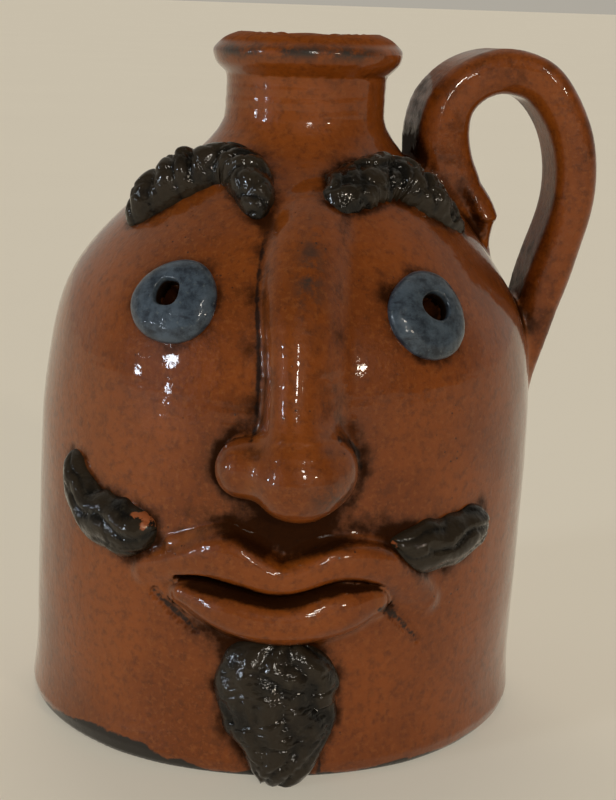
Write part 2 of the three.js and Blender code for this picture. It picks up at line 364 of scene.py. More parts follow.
# Nose, lips and creases: degrees from the front, height, half width, rise
bridge = Roll(
    [
        [3.4, 168, 7, 4.6],
        [3.0, 158, 10.4, 7.6],
        [2.5, 142, 10.8, 10.2],
        [1.6, 129, 9.6, 11.8],
        [1.1, 117, 8.8, 13.4],
        [1.6, 105, 9.8, 16.4],
        [2.2, 96, 8, 16.4],
    ],
    -3,
)
ball = dab(2.7, 94.4, 7.2, (12.2, 11.8, 12.4))
bridge_side = Roll(
    [[8.5, 162, 6.2, 3.6], [7.2, 142, 6.8, 5.4], [6.4, 125, 6.6, 6.4], [6.2, 108, 6.8, 8]],
    -3,
)
wings = [dab(-8.0, 96.6, 3.6, (8.0, 8.6, 8.4)), dab(9.3, 96.4, 3.6, (6.6, 8.6, 8.0))]
upper_lip = Roll(
    [
        [-30, 60.8, 3.4, 4],
        [-20, 66, 5.4, 7.4],
        [-11, 68.8, 8, 10.2],
        [0.4, 63.4, 5.8, 10.4],
        [11, 68.2, 6.4, 10.6],
        [19, 67.2, 6.6, 9.4],
        [27.5, 60.6, 5.6, 6.6],
        [34.5, 53, 3.2, 4],
    ],
    -3,
    square=2.7,
    tip=0.16,
)
lower_lip = Roll(
    [
        [-20.5, 56.2, 3.4, 6],
        [-11, 52.8, 6.6, 10],
        [0.5, 50, 7.4, 11.4],
        [13.4, 53.8, 8, 10.6],
        [19.8, 55.8, 5.8, 8],
    ],
    -3,
    square=2.4,
    tip=0.12,
)
slit = Roll(
    [
        [-21.5, 61.4, 1.1, 7],
        [-15.5, 62, 1.7, 10],
        [-9, 60.4, 1.3, 11],
        [0, 58.4, 0.9, 11],
        [8, 61.2, 0.7, 11],
        [14, 63, 0.5, 11],
        [20.5, 61, 0.4, 7],
    ],
    -3,
)
fold = Roll([[-11, 77.4, 1.4, 1.6], [-17, 74.6, 1.8, 1.9], [-24, 71.2, 1.2, 1.2]], -0.4)
pupils = [dab(-29.6, 141.0, -0.6, (3.6, 3.7, 4.6)), dab(36.2, 138.8, -0.6, (3.9, 3.6, 4.6))]
dents = [
    Roll([[21, 55, 1.8, 0.6], [26.5, 49.4, 1.8, 0.6], [32.3, 41, 1.2, 0.3]], 0),
    Roll([[-27.4, 55, 1.6, 0.6], [-22.6, 50.4, 1.8, 0.6], [-17.4, 45.6, 1.2, 0.3]], 0),
]

# Dark lines that the glaze has settled in, with painted shade in the creases: degrees, height, half
# width
NOSE_SEAM = [
    [-9, 160, 0.0],
    [-8.5, 154.7, 0.2],
    [-7.4, 139.2, 0.3],
    [-6.8, 123.2, 0.3],
    [-6.9, 105, 0.2],
]
NOSE_RIGHT = [[14, 161, 0], [11.7, 148, 0], [10.4, 135, 0], [10.1, 121.5, 0], [9.6, 112, 0]]
SEAMS = [
    NOSE_SEAM,
    [[20.7, 54.4, 0.4], [26.5, 49, 0.4], [32.5, 40.7, 0.2]],
    [[21.8, 55.6, 0.3], [26.2, 50.4, 0.2]],
    [[-27.6, 55.2, 0.3], [-24.1, 51.7, 0.4], [-20, 48, 0.4], [-17.2, 45.2, 0.1]],
    [[10.6, 8.6, 0.2], [11.2, 1.5, 0.5]],
    [[9.6, 106, 0.2], [12, 104.4, 0.5], [14, 102, 0.6], [15.2, 99, 0.4], [15.8, 95.4, 0.1]],
]

# Strap handle in its own upright plane: distance out, height, half thickness, half width
strap = spline(
    [
        [61, 148, 2, 9],
        [55, 159.5, 6.4, 12.5],
        [49.5, 168, 8.4, 14],
        [45.6, 176.5, 8.8, 14],
        [44.2, 186, 8.6, 13.4],
        [46.2, 195, 8, 13],
        [52.8, 202, 7.4, 13],
        [62, 205.2, 7.2, 13],
        [73.2, 202.4, 7, 13],
        [81.8, 192.5, 6.8, 13],
        [87.2, 178, 6.8, 13],
        [88.2, 162, 6.8, 13],
        [85.2, 145, 6.8, 13],
        [80.6, 131, 6, 12.4],
        [77.8, 117, 4.4, 11],
        [76.2, 102, 2, 8],
    ],
    90,
)
INNER_ARM = strap[: np.argmax(strap[:, 1])]
# The strap's front edge is torn where it meets the shoulder: height, how far the clay stands out
TORN_EDGE = np.array(
    [[142, 0], [149, 0.9], [155.6, 2.2], [157.8, 2.8], [159, 3.9], [164, 2.3], [170, 0.3], [176, 0]]
)
STRAP_AWAY, place = to_line(grid_r, grid_z, strap[:, :2])
STRAP_THICK = np.interp(place, run_of(strap[:, :2]), strap[:, 2])
STRAP_WIDE = np.interp(place, run_of(strap[:, :2]), strap[:, 3])


def handle(p):
    """Distance to the strap handle, which twists a little as it goes out."""
    twist = STRAP_TURN_NEAR + (STRAP_TURN_FAR - STRAP_TURN_NEAR) * smoothstep(
        np.hypot(p[:, 0], p[:, 1]), 48, 84
    )
    out = p[:, 0] * np.cos(twist) + p[:, 1] * np.sin(twist)
    side = p[:, 1] * np.cos(twist) - p[:, 0] * np.sin(twist)
    away, thick, wide = (
        look_up(t, out, p[:, 2], 0, TABLE_Z[0]) for t in (STRAP_AWAY, STRAP_THICK, STRAP_WIDE)
    )
    corner = 0.75 * thick
    qx = away - thick + corner
    qy = np.abs(side) - wide + corner
    outside = np.hypot(np.maximum(qx, 0), np.maximum(qy, 0))
    d = outside + np.minimum(np.maximum(qx, qy), 0) - corner
    inward = out - np.interp(p[:, 2], INNER_ARM[:, 1], INNER_ARM[:, 0])
    torn = np.interp(p[:, 2], TORN_EDGE[:, 0], TORN_EDGE[:, 1]) * (out < 74)
    return d - torn * smoothstep(inward, 0, 4) * smoothstep(side, 4, -4)


def clay(p):
    """The field with the hand's unevenness and faint throwing rings."""
    z = p[:, 2]
    neck = smoothstep(z, 172, 190) * (np.hypot(p[:, 0], p[:, 1]) < 40)
    rings = np.sin(z * 1.7 + 2.5 * noise(p, 22, 3)) * (0.012 + 0.035 * neck)
    return field(p) + rough(p, JUG_ROUGH) + rings


def field(p):
    """Signed distance to the jug's outside, mouth, handle, nose and lips, before it leans."""
    r = np.hypot(p[:, 0], p[:, 1])
    d = look_up(BODY, r, p[:, 2], 0, TABLE_Z[0])
    side = (p[:, 0] > 28) & (p[:, 1] > -26) & (p[:, 1] < 44) & (p[:, 2] > 90)
    d[side] = smin(d[side], handle(p[side]), MELT["handle"])
    face = (p[:, 1] < -30) & (p[:, 2] > 30) & (p[:, 2] < 185) & (d < 32) & (d > -9)
    q = p[face]
    h = d[face]
    s = look_up(PLACE, r[face], q[:, 2], 0, TABLE_Z[0])
    a = np.arctan2(q[:, 0], -q[:, 1]) * side_at(s)[0]
    nose = smin(bridge(a, s, h), bridge_side(a, s, h), MELT["bridge"])
    nose = smin(nose, ball(a, s, h), MELT["ball"])
    for wing in wings:
        nose = smin(nose, wing(a, s, h), MELT["wing"])
    nose_melt = MELT["nose_left"] + (MELT["nose_right"] - MELT["nose_left"]) * smoothstep(a, -4, 9)
    f = smin(h, nose, nose_melt)
    f = smin(f, fold(a, s, h), MELT["fold"])
    lips = smin(upper_lip(a, s, h), lower_lip(a, s, h), MELT["lip_to_lip"])
    f = smin(f, lips, MELT["lips"])
    f = smax(f, -slit(a, s, h), MELT["slit"])
    for pit in pupils:
        f = smax(f, -pit(a, s, h), MELT["pupil"])
    for dent in dents:
        f = smax(f, -dent(a, s, h), MELT["dent"])
    d[face] = f
    top = p[:, 2] > 170
    bore = look_up(NECK_BORE, r[top], p[top, 2], 0, TABLE_Z[0])
    d[top] = smax(d[top], -bore, MELT["bore"])
    return d


def slopes(p, eps=0.25):
    """Outward direction of the field at points."""
    g = np.empty_like(p)
    for k in range(3):
        step = np.zeros(3)
        step[k] = eps
        g[:, k] = clay(p + step) - clay(p - step)
    return g / np.maximum(np.linalg.norm(g, axis=1), 1e-9)[:, None]


def spaced(*parts):
    """Grid lines through (start, end, step) stretches."""
    lines = [np.arange(a, b - 0.3 * step, step) for a, b, step in parts]
    return np.concatenate(lines + [[parts[-1][1]]])


CORNERS = [(i, j, k) for i in (0, 1) for j in (0, 1) for k in (0, 1)]


def grid_values(lines):
    """The field at every crossing of the grid lines, worked out level by level."""
    xs, ys, zs = lines
    value = np.empty((len(xs), len(ys), len(zs)), np.float32)
    gx, gy = np.meshgrid(xs, ys, indexing="ij")
    flat = np.stack([gx.ravel(), gy.ravel()], axis=1)
    for k, z in enumerate(zs):
        level = np.column_stack([flat, np.full(len(flat), z)])
        value[:, :, k] = field(level).reshape(gx.shape)
    return value


def boxes_cut(inside):
    """Grid boxes that the surface passes through, and the number of each."""
    count = np.zeros(tuple(n - 1 for n in inside.shape), np.uint8)
    for i, j, k in CORNERS:
        count += inside[i : i + count.shape[0], j : j + count.shape[1], k : k + count.shape[2]]
    boxes = np.argwhere((count > 0) & (count < 8))
    number = np.full(count.shape, -1, np.int32)
    number[tuple(boxes.T)] = np.arange(len(boxes))
    return boxes, number


def box_points(boxes, value, lines):
    """One point in each box, in the middle of where the surface cuts its edges."""
    total = np.zeros((len(boxes), 3))
    hits = np.zeros(len(boxes))
    for one in CORNERS:
        for axis in range(3):
            if one[axis]:
                continue
            a = boxes + one
            b = a.copy()
            b[:, axis] += 1
            va = value[tuple(a.T)]
            vb = value[tuple(b.T)]
            cut = (va < 0) != (vb < 0)
            t = np.where(cut, va / np.where(cut, va - vb, 1), 0)
            for n in range(3):
                start = lines[n][a[:, n]]
                total[:, n] += np.where(cut, start + t * (lines[n][b[:, n]] - start), 0)
            hits += cut
    return total / hits[:, None]


def box_quads(inside, number):
    """A quad for every grid edge that the surface cuts, between the four boxes round it."""
    quads = []
    for axis in range(3):
        low = [slice(None)] * 3
        high = [slice(None)] * 3
        low[axis] = slice(0, -1)
        high[axis] = slice(1, None)
        u, v = [n for n in range(3) if n != axis]
        at = np.argwhere(inside[tuple(low)] != inside[tuple(high)])
        at = at[(at[:, u] > 0) & (at[:, v] > 0)]
        at = at[(at[:, u] < number.shape[u]) & (at[:, v] < number.shape[v])]
        ring = []
        for du, dv in ((-1, -1), (0, -1), (0, 0), (-1, 0)):
            c = at.copy()
            c[:, u] += du
            c[:, v] += dv
            ring.append(number[tuple(c.T)])
        quad = np.stack(ring, axis=1)
        flip = inside[tuple(at.T)] == (axis == 1)
        quad[flip] = quad[flip][:, ::-1]
        quads.append(quad)
    return np.concatenate(quads)


def skin():
    """Points and quads of the surface where the field is zero."""
    lines = (
        spaced((-86, -48, REST_STEP), (-48, 48, FACE_STEP), (48, 106, STRAP_STEP)),
        spaced((-112, -44, FACE_STEP), (-44, 86, REST_STEP)),
        spaced((-3, 219, UP_STEP)),
    )
    value = grid_values(lines)
    inside = value < 0
    boxes, number = boxes_cut(inside)
    return box_points(boxes, value, lines), box_quads(inside, number)


def settle(points):
    """Moves points onto the surface and returns them with their outward directions."""
    for _ in range(3):
        g = slopes(points)
        points = points - np.clip(clay(points), -0.7, 0.7)[:, None] * g
    return points, slopes(points)


def leaned(points):
    """Points moved sideways with the lean and tipped at the rim, none below the table."""
    moved = points.copy()
    moved[:, 0] += axis_x(points[:, 2])
    moved[:, 2] -= RIM_TILT * points[:, 1] * smoothstep(points[:, 2], *RIM_TILT_Z)
    moved[:, 2] = np.maximum(moved[:, 2], 0)
    return moved


def make_object(name, points, faces, normals=None):
    """A smooth mesh object from points in millimetres, leaned with the jug."""
    mesh = bpy.data.meshes.new(name)
    mesh.from_pydata((leaned(points) / 1000).tolist(), [], [list(f) for f in faces])
    mesh.update()
    mesh.polygons.foreach_set("use_smooth", np.ones(len(mesh.polygons), bool))
    if normals is not None:
        tip = (axis_x(points[:, 2] + 0.5) - axis_x(points[:, 2] - 0.5)) * normals[:, 0]
        bent = normals - np.stack([0 * tip, 0 * tip, tip], axis=1)
        bent /= np.linalg.norm(bent, axis=1)[:, None]
        mesh.normals_split_custom_set_from_vertices(bent.tolist())
    made = bpy.data.objects.new(name, mesh)
    bpy.context.scene.collection.objects.link(made)
    return made


def attribute(made, name, values):
    """Gives each point of an object a value that its material can read."""
    data = made.data.attributes.new(name, "FLOAT", "POINT")
    data.data.foreach_set("value", np.asarray(values, np.float32))


def ring_faces(rings, around, first, last):
    """Quads between closed rings of points, with fans to a first and a last point."""
    faces = []
    for i in range(rings - 1):
        for j in range(around):
            k = (j + 1) % around
            low = i * around
            high = low + around
            faces.append((low + j, low + k, high + k, high + j))
    for j in range(around):
        k = (j + 1) % around
        faces.append((first, k, j))
        faces.append((last, (rings - 1) * around + j, (rings - 1) * around + k))
    return faces


def laid_roll(name, stops, base, relief, rings=150, around=72):
    """A carved roll of clay laid on the wall as an object of its own."""
    fine = spline(stops, 400)
    t = np.linspace(0, math.pi, rings + 2)
    bend = 0.5 - 0.5 * np.cos(t) * (0.35 + 0.65 * np.abs(np.cos(t)))
    even = np.linspace(0, 1, len(fine))
    at = np.stack([np.interp(bend, even, fine[:, k]) for k in range(4)], axis=1)
    s = side_of(at[:, 1])
    r = side_at(s)[0]
    ahead_a = np.gradient(np.radians(at[:, 0])) * r
    ahead_s = np.gradient(s)
    length = np.hypot(ahead_a, ahead_s)
    length[length == 0] = 1
    end = np.sqrt(np.maximum(0, 1 - np.abs(2 * bend - 1) ** 7))
    angle = np.linspace(0, 2 * math.pi, around, endpoint=False)
    steps = np.hypot(np.diff(np.radians(at[:, 0])) * r[1:], np.diff(s))
    run = np.concatenate([[0], np.cumsum(steps)])
    full = np.ones((len(at), around))
    across = np.cos(angle)[None, :] * full
    up = np.maximum(0, np.sin(angle))[None, :] * full
    wide, high = relief(run[:, None] * full, across)
    half = at[:, 2:3] * end[:, None] * across * wide
    lift = at[:, 3:4] * end[:, None] * (up * high)
    shift_a = -half * (ahead_s / length)[:, None]
    shift_s = half * (ahead_a / length)[:, None]
    turn_by = np.radians(at[:, 0:1]) + shift_a / r[:, None]
    plain = on_wall(turn_by, s[:, None] + shift_s, base + lift).reshape(-1, 3)
    uneven = rough(plain, ROLL_ROUGH).reshape(lift.shape)
    lift = lift + uneven * smoothstep(lift, 0.6, 2.2)
    grid = on_wall(turn_by, s[:, None] + shift_s, base + lift)
    points = grid[1:-1].reshape(-1, 3)
    points = np.vstack([points, grid[0, :1], grid[-1, :1]])
    faces = ring_faces(rings, around, len(points) - 2, len(points) - 1)
    made = make_object(name, points, faces)
    crest = (high - high.min()) / (high.max() - high.min())
    attribute(made, "crest", np.concatenate([crest[1:-1].ravel(), [0.5, 0.5]]))
    return made, points


def eye(name, degrees, z, hole, hole_wide, egg, corners):
    """A flat-domed disc of clay bent onto the wall, with its hole set off centre."""
    around = 120
    rows = 40
    angle = np.linspace(0, 2 * math.pi, around, endpoint=False)
    w = np.linspace(0, 1, rows)
    lip = 0.78 + 0.22 * smoothstep(w, 0, 0.08)
    dome = np.sqrt(np.maximum(0, 1 - np.clip((w - 0.12) / 0.88, 0, 1) ** 3))
    rise = 0.2 + (EYE_RISE - 0.4) * lip * dome
    outer = EYE_R * (1 + 0.045 * np.cos(2 * (angle - egg)) + 0.018 * np.cos(3 * angle + degrees))
    inner = EYE_HOLE_R * (1 + 0.045 * np.cos(corners * (angle - 0.8)))
    x = w[:, None] * (outer * np.cos(angle))[None, :]
    x = x + (1 - w)[:, None] * (hole[0] + hole_wide * inner * np.cos(angle))[None, :]
    y = w[:, None] * (outer * np.sin(angle))[None, :]
    y = y + (1 - w)[:, None] * (hole[1] + inner * np.sin(angle))[None, :]
    s0 = float(side_of(z))
    r0 = float(side_at(s0)[0])
    out = rise[:, None] * np.ones((1, around))
    out[0] = -1.5
    out[-1] = -1.0
    turn_by = math.radians(degrees) + x / r0
    plain = on_wall(turn_by, s0 + y, out).reshape(-1, 3)
    uneven = rough(plain, EYE_ROUGH).reshape(out.shape)
    out = out + uneven * smoothstep(out, 0.4, 2.0)
    points = on_wall(turn_by, s0 + y, out).reshape(-1, 3)
    faces = []
    for i in range(rows):
        for j in range(around):
            k = (j + 1) % around
            n = (i + 1) % rows
            faces.append((i * around + j, i * around + k, n * around + k, n * around + j))
    made = make_object(name, points, faces)
    attribute(made, "hole", np.repeat(w == 0, around))
    return made, points


def twisted(run, across):
    """Slanted scalloped lobes, like a twisted rope."""
    phase = run / 7.0 - 0.5 * across + 0.22 * np.sin(run * 0.31)
    lobe = np.abs(np.sin(math.pi * phase))
    own = scatter(np.floor(phase).astype(np.int64), 0, 0, 4)
    seam, level = cells(across * 1.3, run / 7.0, 2)
    wide = 0.9 + 0.05 * lobe * (across > 0) + 0.12 * lobe**0.6 * (across <= 0)
    high = 0.68 + 0.24 * lobe**0.55 + 0.05 * own + 0.05 * level + 0.05 * smoothstep(seam, 0, 0.2)
    return wide, high


def ragged(run, across):
    """A flattened roll pushed about with a stick."""
    seam, level = cells(across * 1.25 + 0.2 * np.sin(run * 0.4), run / 9.5, 3)
    nick, dent = cells(across * 2.6, run / 4.5, 8)
    edge = 0.95 + 0.05 * np.sin(run * 0.8 + 2 * np.sign(across)) + 0.04 * np.sin(run * 1.9)
    high = 0.8 + 0.12 * level + 0.1 * smoothstep(seam, 0, 0.3)
    return edge, high + 0.05 * dent + 0.03 * smoothstep(nick, 0, 0.3)


def combed(run, across):
    """Smooth locks pulled along the roll, with a few dents."""
    sway = 0.35 * np.sin(run * 0.16 + 0.6) + 0.16 * np.sin(run * 0.37 + 2.0 * across)
    phase = 1.3 * across + sway
    lock = np.abs(np.sin(math.pi * phase)) ** 0.5
    own = scatter(np.floor(phase).astype(np.int64), 0, 0, 5)
    _, level = cells(across * 1.6 + sway, run / 11.0, 5)
    return 0.98 + 0.04 * np.sin(run * 0.6), 0.76 + 0.14 * lock + 0.05 * own + 0.05 * level


def gouged(run, across):
    """Broad planes cut with the end of a stick."""
    sway = 0.4 * np.sin(run * 0.13 + 1.0) + 0.22 * np.sin(run * 0.31 + 2.4 * across)
    phase = 2.0 * across + sway
    lock = np.abs(np.sin(math.pi * phase)) ** 0.5
    own = scatter(np.floor(phase).astype(np.int64), 0, 0, 13)
    lump, level = cells(across * 3.2 + sway, run / 8.0, 17)
    high = 0.66 + 0.2 * lock + 0.07 * own + 0.1 * level + 0.05 * smoothstep(lump, 0, 0.2)
    return 0.99 + 0.03 * np.sin(run * 0.5), high


# Brows, tufts and beard: degrees from the front, height, half width, rise
HAIR = {
    "left_eyebrow": (
        [
            [-11.8, 163, 5.6, 8.2],
            [-19, 170.6, 7.2, 9.4],
            [-31, 175.2, 7.6, 10.2],
            [-43, 174.2, 7.8, 11.2],
            [-52, 169.8, 7.6, 12.2],
            [-58.5, 163.6, 7, 11.4],
            [-63, 156.8, 6.2, 8.6],
        ],
        twisted,
    ),
    "right_eyebrow": (
        [
            [7.4, 169.2, 2.4, 4],
            [13.5, 169.4, 8, 6.8],
            [25, 172.2, 9.4, 8],
            [38, 173.6, 9.2, 8.6],
            [49, 172, 8.8, 9.2],
            [58, 166, 7.2, 8.2],
            [69, 156.6, 3.4, 4.6],
        ],
        ragged,
    ),
    "left_moustache": (
        [
            [-54, 91.2, 4.4, 5.4],
            [-50.6, 82.6, 5.8, 6.8],
            [-44.4, 75, 8.4, 8],
            [-35, 72.6, 9, 8.2],
            [-27.2, 74.5, 5.4, 6],
        ],
        combed,
    ),
    "right_moustache": (
        [
            [23, 73.2, 2.4, 4.4],
            [30, 70.4, 8, 7.4],
            [38, 70.2, 8.4, 8],
            [45.5, 72.8, 7.6, 7.4],
            [50.8, 75.8, 5.8, 5.6],
        ],
        combed,
    ),
    "goatee": (
        [
            [1.6, 45.5, 12.8, 7.4],
            [0.9, 36, 18, 9.8],
            [1, 27, 18.4, 10.6],
            [2, 18, 16.8, 11],
            [2, 9.5, 13.2, 11],
            [-0.2, 0.8, 8.8, 10.8],
        ],
        gouged,
    ),
}
# Eyes: degrees, height, place of the hole, its breadth, turn of the long axis, the hole's corners
EYES = {
    "left_eye": (-28.6, 139.9, (-1.0, 1.4), 0.98, 0.35, 4),
    "right_eye": (34.8, 137.6, (1.6, 1.4), 1.12, 0.9, 3),
}


# Materials
class Shader:
    """A node material built by short calls."""

    def __init__(self, name):
        self.material = bpy.data.materials.new(name)
        self.material.use_nodes = True
        self.nodes = self.material.node_tree.nodes
        self.links = self.material.node_tree.links
        self.bsdf = next(n for n in self.nodes if n.type == "BSDF_PRINCIPLED")
        self.place = self.nodes.new("ShaderNodeTexCoord").outputs["Object"]

    def put(self, socket, value):
        if isinstance(value, bpy.types.NodeSocket):
            self.links.new(value, socket)
        else:
            socket.default_value = value

    def noise(self, scale, detail=4.0, rough=0.55, stretch=None):
        n = self.nodes.new("ShaderNodeTexNoise")
        n.inputs["Scale"].default_value = scale
        n.inputs["Detail"].default_value = detail
        n.inputs["Roughness"].default_value = rough
        self.links.new(self.stretched(stretch) if stretch else self.place, n.inputs["Vector"])
        return n.outputs["Fac"]

    def stretched(self, stretch):
        m = self.nodes.new("ShaderNodeMapping")
        m.inputs["Scale"].default_value = stretch
        self.links.new(self.place, m.inputs["Vector"])
        return m.outputs["Vector"]

    def spots(self, scale):
        n = self.nodes.new("ShaderNodeTexVoronoi")
        n.inputs["Scale"].default_value = scale
        self.links.new(self.place, n.inputs["Vector"])
        return n.outputs["Distance"]

    def value(self, name):
        n = self.nodes.new("ShaderNodeAttribute")
        n.attribute_name = name
        return n.outputs["Fac"]

    def ramp(self, factor, low, high, out_low=0.0, out_high=1.0):
        n = self.nodes.new("ShaderNodeMapRange")
        n.interpolation_type = "SMOOTHSTEP"
        self.put(n.inputs["Value"], factor)
        n.inputs["From Min"].default_value = low
        n.inputs["From Max"].default_value = high
        n.inputs["To Min"].default_value = out_low
        n.inputs["To Max"].default_value = out_high
        return n.outputs["Result"]

    def math(self, kind, a, b):
        n = self.nodes.new("ShaderNodeMath")
        n.operation = kind
        n.use_clamp = kind != "ADD"
        self.put(n.inputs[0], a)
        self.put(n.inputs[1], b)
        return n.outputs["Value"]

    def mix(self, factor, a, b):
        n = self.nodes.new("ShaderNodeMix")
        n.data_type = "RGBA"
        self.put(n.inputs["Factor"], factor)
        for socket, value in zip([i for i in n.inputs if i.type == "RGBA"], (a, b)):
            self.put(socket, value)
        return next(o for o in n.outputs if o.type == "RGBA")

    def bump(self, height, strength, distance, below=None):
        n = self.nodes.new("ShaderNodeBump")
        n.inputs["Strength"].default_value = strength
        n.inputs["Distance"].default_value = distance
        self.put(n.inputs["Height"], height)
        if below is not None:
            self.links.new(below, n.inputs["Normal"])
        return n.outputs["Normal"]

    def finish(self, colour, roughness, normal, coat, coat_normal, sheen=0.12):
        self.put(self.bsdf.inputs["Base Color"], colour)
        self.put(self.bsdf.inputs["Roughness"], roughness)
        self.put(self.bsdf.inputs["Normal"], normal)
        self.put(self.bsdf.inputs["Specular IOR Level"], sheen)
        self.put(self.bsdf.inputs["Coat Weight"], coat)
        self.bsdf.inputs["Coat Roughness"].default_value = 0.05
        self.bsdf.inputs["Coat IOR"].default_value = 1.33
        self.put(self.bsdf.inputs["Coat Normal"], coat_normal)
        return self.material


def rgb(red, green, blue):
    return (red, green, blue, 1.0)


RED_DEEP = rgb(0.165, 0.038, 0.0040)
RED_BRIGHT = rgb(0.240, 0.058, 0.0066)
RED_DARK_SPOT = rgb(0.088, 0.022, 0.0046)
RED_PALE_SPOT = rgb(0.255, 0.074, 0.014)
RED_CREST = rgb(0.265, 0.078, 0.016)
POOLED_AND_SHADED = rgb(0.016, 0.0052, 0.0016)
SPECK = rgb(0.014, 0.008, 0.006)
SMUDGED = rgb(0.030, 0.026, 0.022)
SEAM_GLAZE_AND_SHADE = rgb(0.010, 0.004, 0.002)
FOOT_BAND_DARK = rgb(0.022, 0.018, 0.014)
BLACK_DEEP = rgb(0.004, 0.003, 0.002)
BLACK_WORN = rgb(0.024, 0.017, 0.010)
BLACK_PALE_SPOT = rgb(0.036, 0.030, 0.021)
CHIPPED = rgb(0.30, 0.085, 0.028)
BLUE_DEEP = rgb(0.015, 0.021, 0.031)
BLUE_BRIGHT = rgb(0.066, 0.090, 0.118)
BLUE_STREAK = rgb(0.014, 0.018, 0.026)
BLUE_PALE_SPOT = rgb(0.095, 0.115, 0.125)
HOLE_SHADE = rgb(0.012, 0.006, 0.003)


def red_glaze():
    """Mottled red-brown glaze, dark where it pools and with painted shade in creases and hollows, and
    darker and rougher in a band at the foot.
    """
    m = Shader("red_glaze")
    cloud = m.noise(26, 5)
    fine = m.noise(380, 5, 0.7)
    grain = m.noise(650, 3, 0.6)
    colour = m.mix(m.ramp(cloud, 0.36, 0.66), RED_DEEP, RED_BRIGHT)
    colour = m.mix(m.ramp(fine, 0.44, 0.7, 0.0, 0.62), colour, RED_DARK_SPOT)
    colour = m.mix(m.ramp(grain, 0.5, 0.7, 0.0, 0.5), colour, RED_PALE_SPOT)
    colour = m.mix(m.ramp(m.value("crest"), 0.1, 0.5, 0.0, 0.5), colour, RED_CREST)
    pool = m.math("ADD", m.value("pool"), m.ramp(m.noise(110, 5, 0.65), 0.3, 0.7, -0.24, 0.24))
    # Painted shade together with pooled glaze: darker in creases, hollows, pits and round the applied
    # pieces
    colour = m.mix(m.ramp(pool, 0.2, 0.85, 0.0, 0.94), colour, POOLED_AND_SHADED)
    specks = m.ramp(m.spots(380), 0.06, 0.17, 1.0, 0.0)
    specks = m.math("MULTIPLY", specks, m.ramp(m.noise(45, 3), 0.5, 0.66))
    colour = m.mix(m.math("MULTIPLY", specks, 0.85), colour, SPECK)
    smudge = m.math("MULTIPLY", m.value("smudge"), m.ramp(m.noise(150, 5, 0.7), 0.36, 0.6))
    colour = m.mix(smudge, colour, SMUDGED)
    # Drawn dark lines: glaze settled in the creases, and painted shade in them
    drawn = m.math("ADD", m.value("seam"), m.ramp(m.noise(420, 4, 0.6), 0.3, 0.7, -0.3, 0.3))
    colour = m.mix(m.ramp(drawn, -0.1, 0.7, 0.92, 0.0), colour, SEAM_GLAZE_AND_SHADE)
    # A dark grey, rough band round the foot, reaching higher at one side
    foot = m.math("ADD", m.value("foot"), m.ramp(m.noise(90, 5), 0.3, 0.7, -0.3, 0.3))
    foot_band = m.ramp(foot, 0.42, 0.62)
    colour = m.mix(foot_band, colour, FOOT_BAND_DARK)
    normal = m.bump(fine, 0.3, 0.0010)
    skin_bump = m.bump(m.noise(100, 3, 0.5), 0.18, 0.0014)
    skin_bump = m.bump(grain, 0.08, 0.0004, skin_bump)
    skin_bump = m.bump(specks, 0.3, -0.0006, skin_bump)
    roughness = m.ramp(foot_band, 0.0, 1.0, 0.34, 0.75)
    shine = m.ramp(m.value("dull"), 0.0, 1.0, 1.0, 0.05)
    gloss = m.math("MULTIPLY", m.ramp(pool, 0.3, 0.9, 1.0, 0.1), shine)
    sheen = m.math("MULTIPLY", m.ramp(pool, 0.4, 0.9, 0.12, 0.0), shine)
    return m.finish(colour, roughness, normal, gloss, skin_bump, sheen)


def black_glaze():
    """Shiny black glaze, thin and brown on the crests, with the red clay where it is chipped."""
    m = Shader("black_glaze")
    cloud = m.noise(120, 5)
    worn = m.math("ADD", m.value("crest"), m.ramp(cloud, 0.3, 0.7, -0.25, 0.25))
    colour = m.mix(m.ramp(worn, 0.25, 0.85), BLACK_DEEP, BLACK_WORN)
    colour = m.mix(m.ramp(m.noise(420, 3), 0.55, 0.75, 0.0, 0.6), colour, BLACK_PALE_SPOT)
    chip = m.math("ADD", m.value("chip"), m.ramp(m.noise(300, 4), 0.3, 0.7, -0.3, 0.3))
    colour = m.mix(m.ramp(chip, 0.5, 0.6), colour, CHIPPED)
    normal = m.bump(m.noise(330, 4), 0.4, 0.0008)
    coat = m.bump(m.noise(240, 3), 0.65, 0.0010)
    return m.finish(colour, 0.4, normal, 1.0, coat, 0.05)


def blue_glaze():
    """Streaked blue-grey glaze, with painted shade inside the eye's hole."""
    m = Shader("blue_glaze")
    cloud = m.noise(170, 6, 0.7)
    streak = m.noise(150, 5, 0.65, (1.0, 1.0, 3.2))
    colour = m.mix(m.ramp(cloud, 0.34, 0.66), BLUE_DEEP, BLUE_BRIGHT)
    colour = m.mix(m.ramp(streak, 0.54, 0.7, 0.0, 0.75), colour, BLUE_STREAK)
    colour = m.mix(m.ramp(m.noise(700, 2), 0.62, 0.72, 0.0, 0.6), colour, BLUE_PALE_SPOT)
    hole = m.value("hole")
    # Painted shade inside the eye's hole, and less coat there
    colour = m.mix(m.ramp(hole, 0.08, 0.3), colour, HOLE_SHADE)
    normal = m.bump(cloud, 0.3, 0.0008)
    coat = m.bump(m.noise(190, 4), 0.3, 0.0010)
    return m.finish(colour, 0.3, normal, m.ramp(hole, 0.1, 0.3, 1.0, 0.2), coat)


RED = red_glaze()
BLACK = black_glaze()
BLUE = blue_glaze()


def join_in(made, node, material):
    """Puts a finished piece in the place of its solid."""
    made.data.materials.append(material)
    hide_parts(node)
    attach(made, "root")


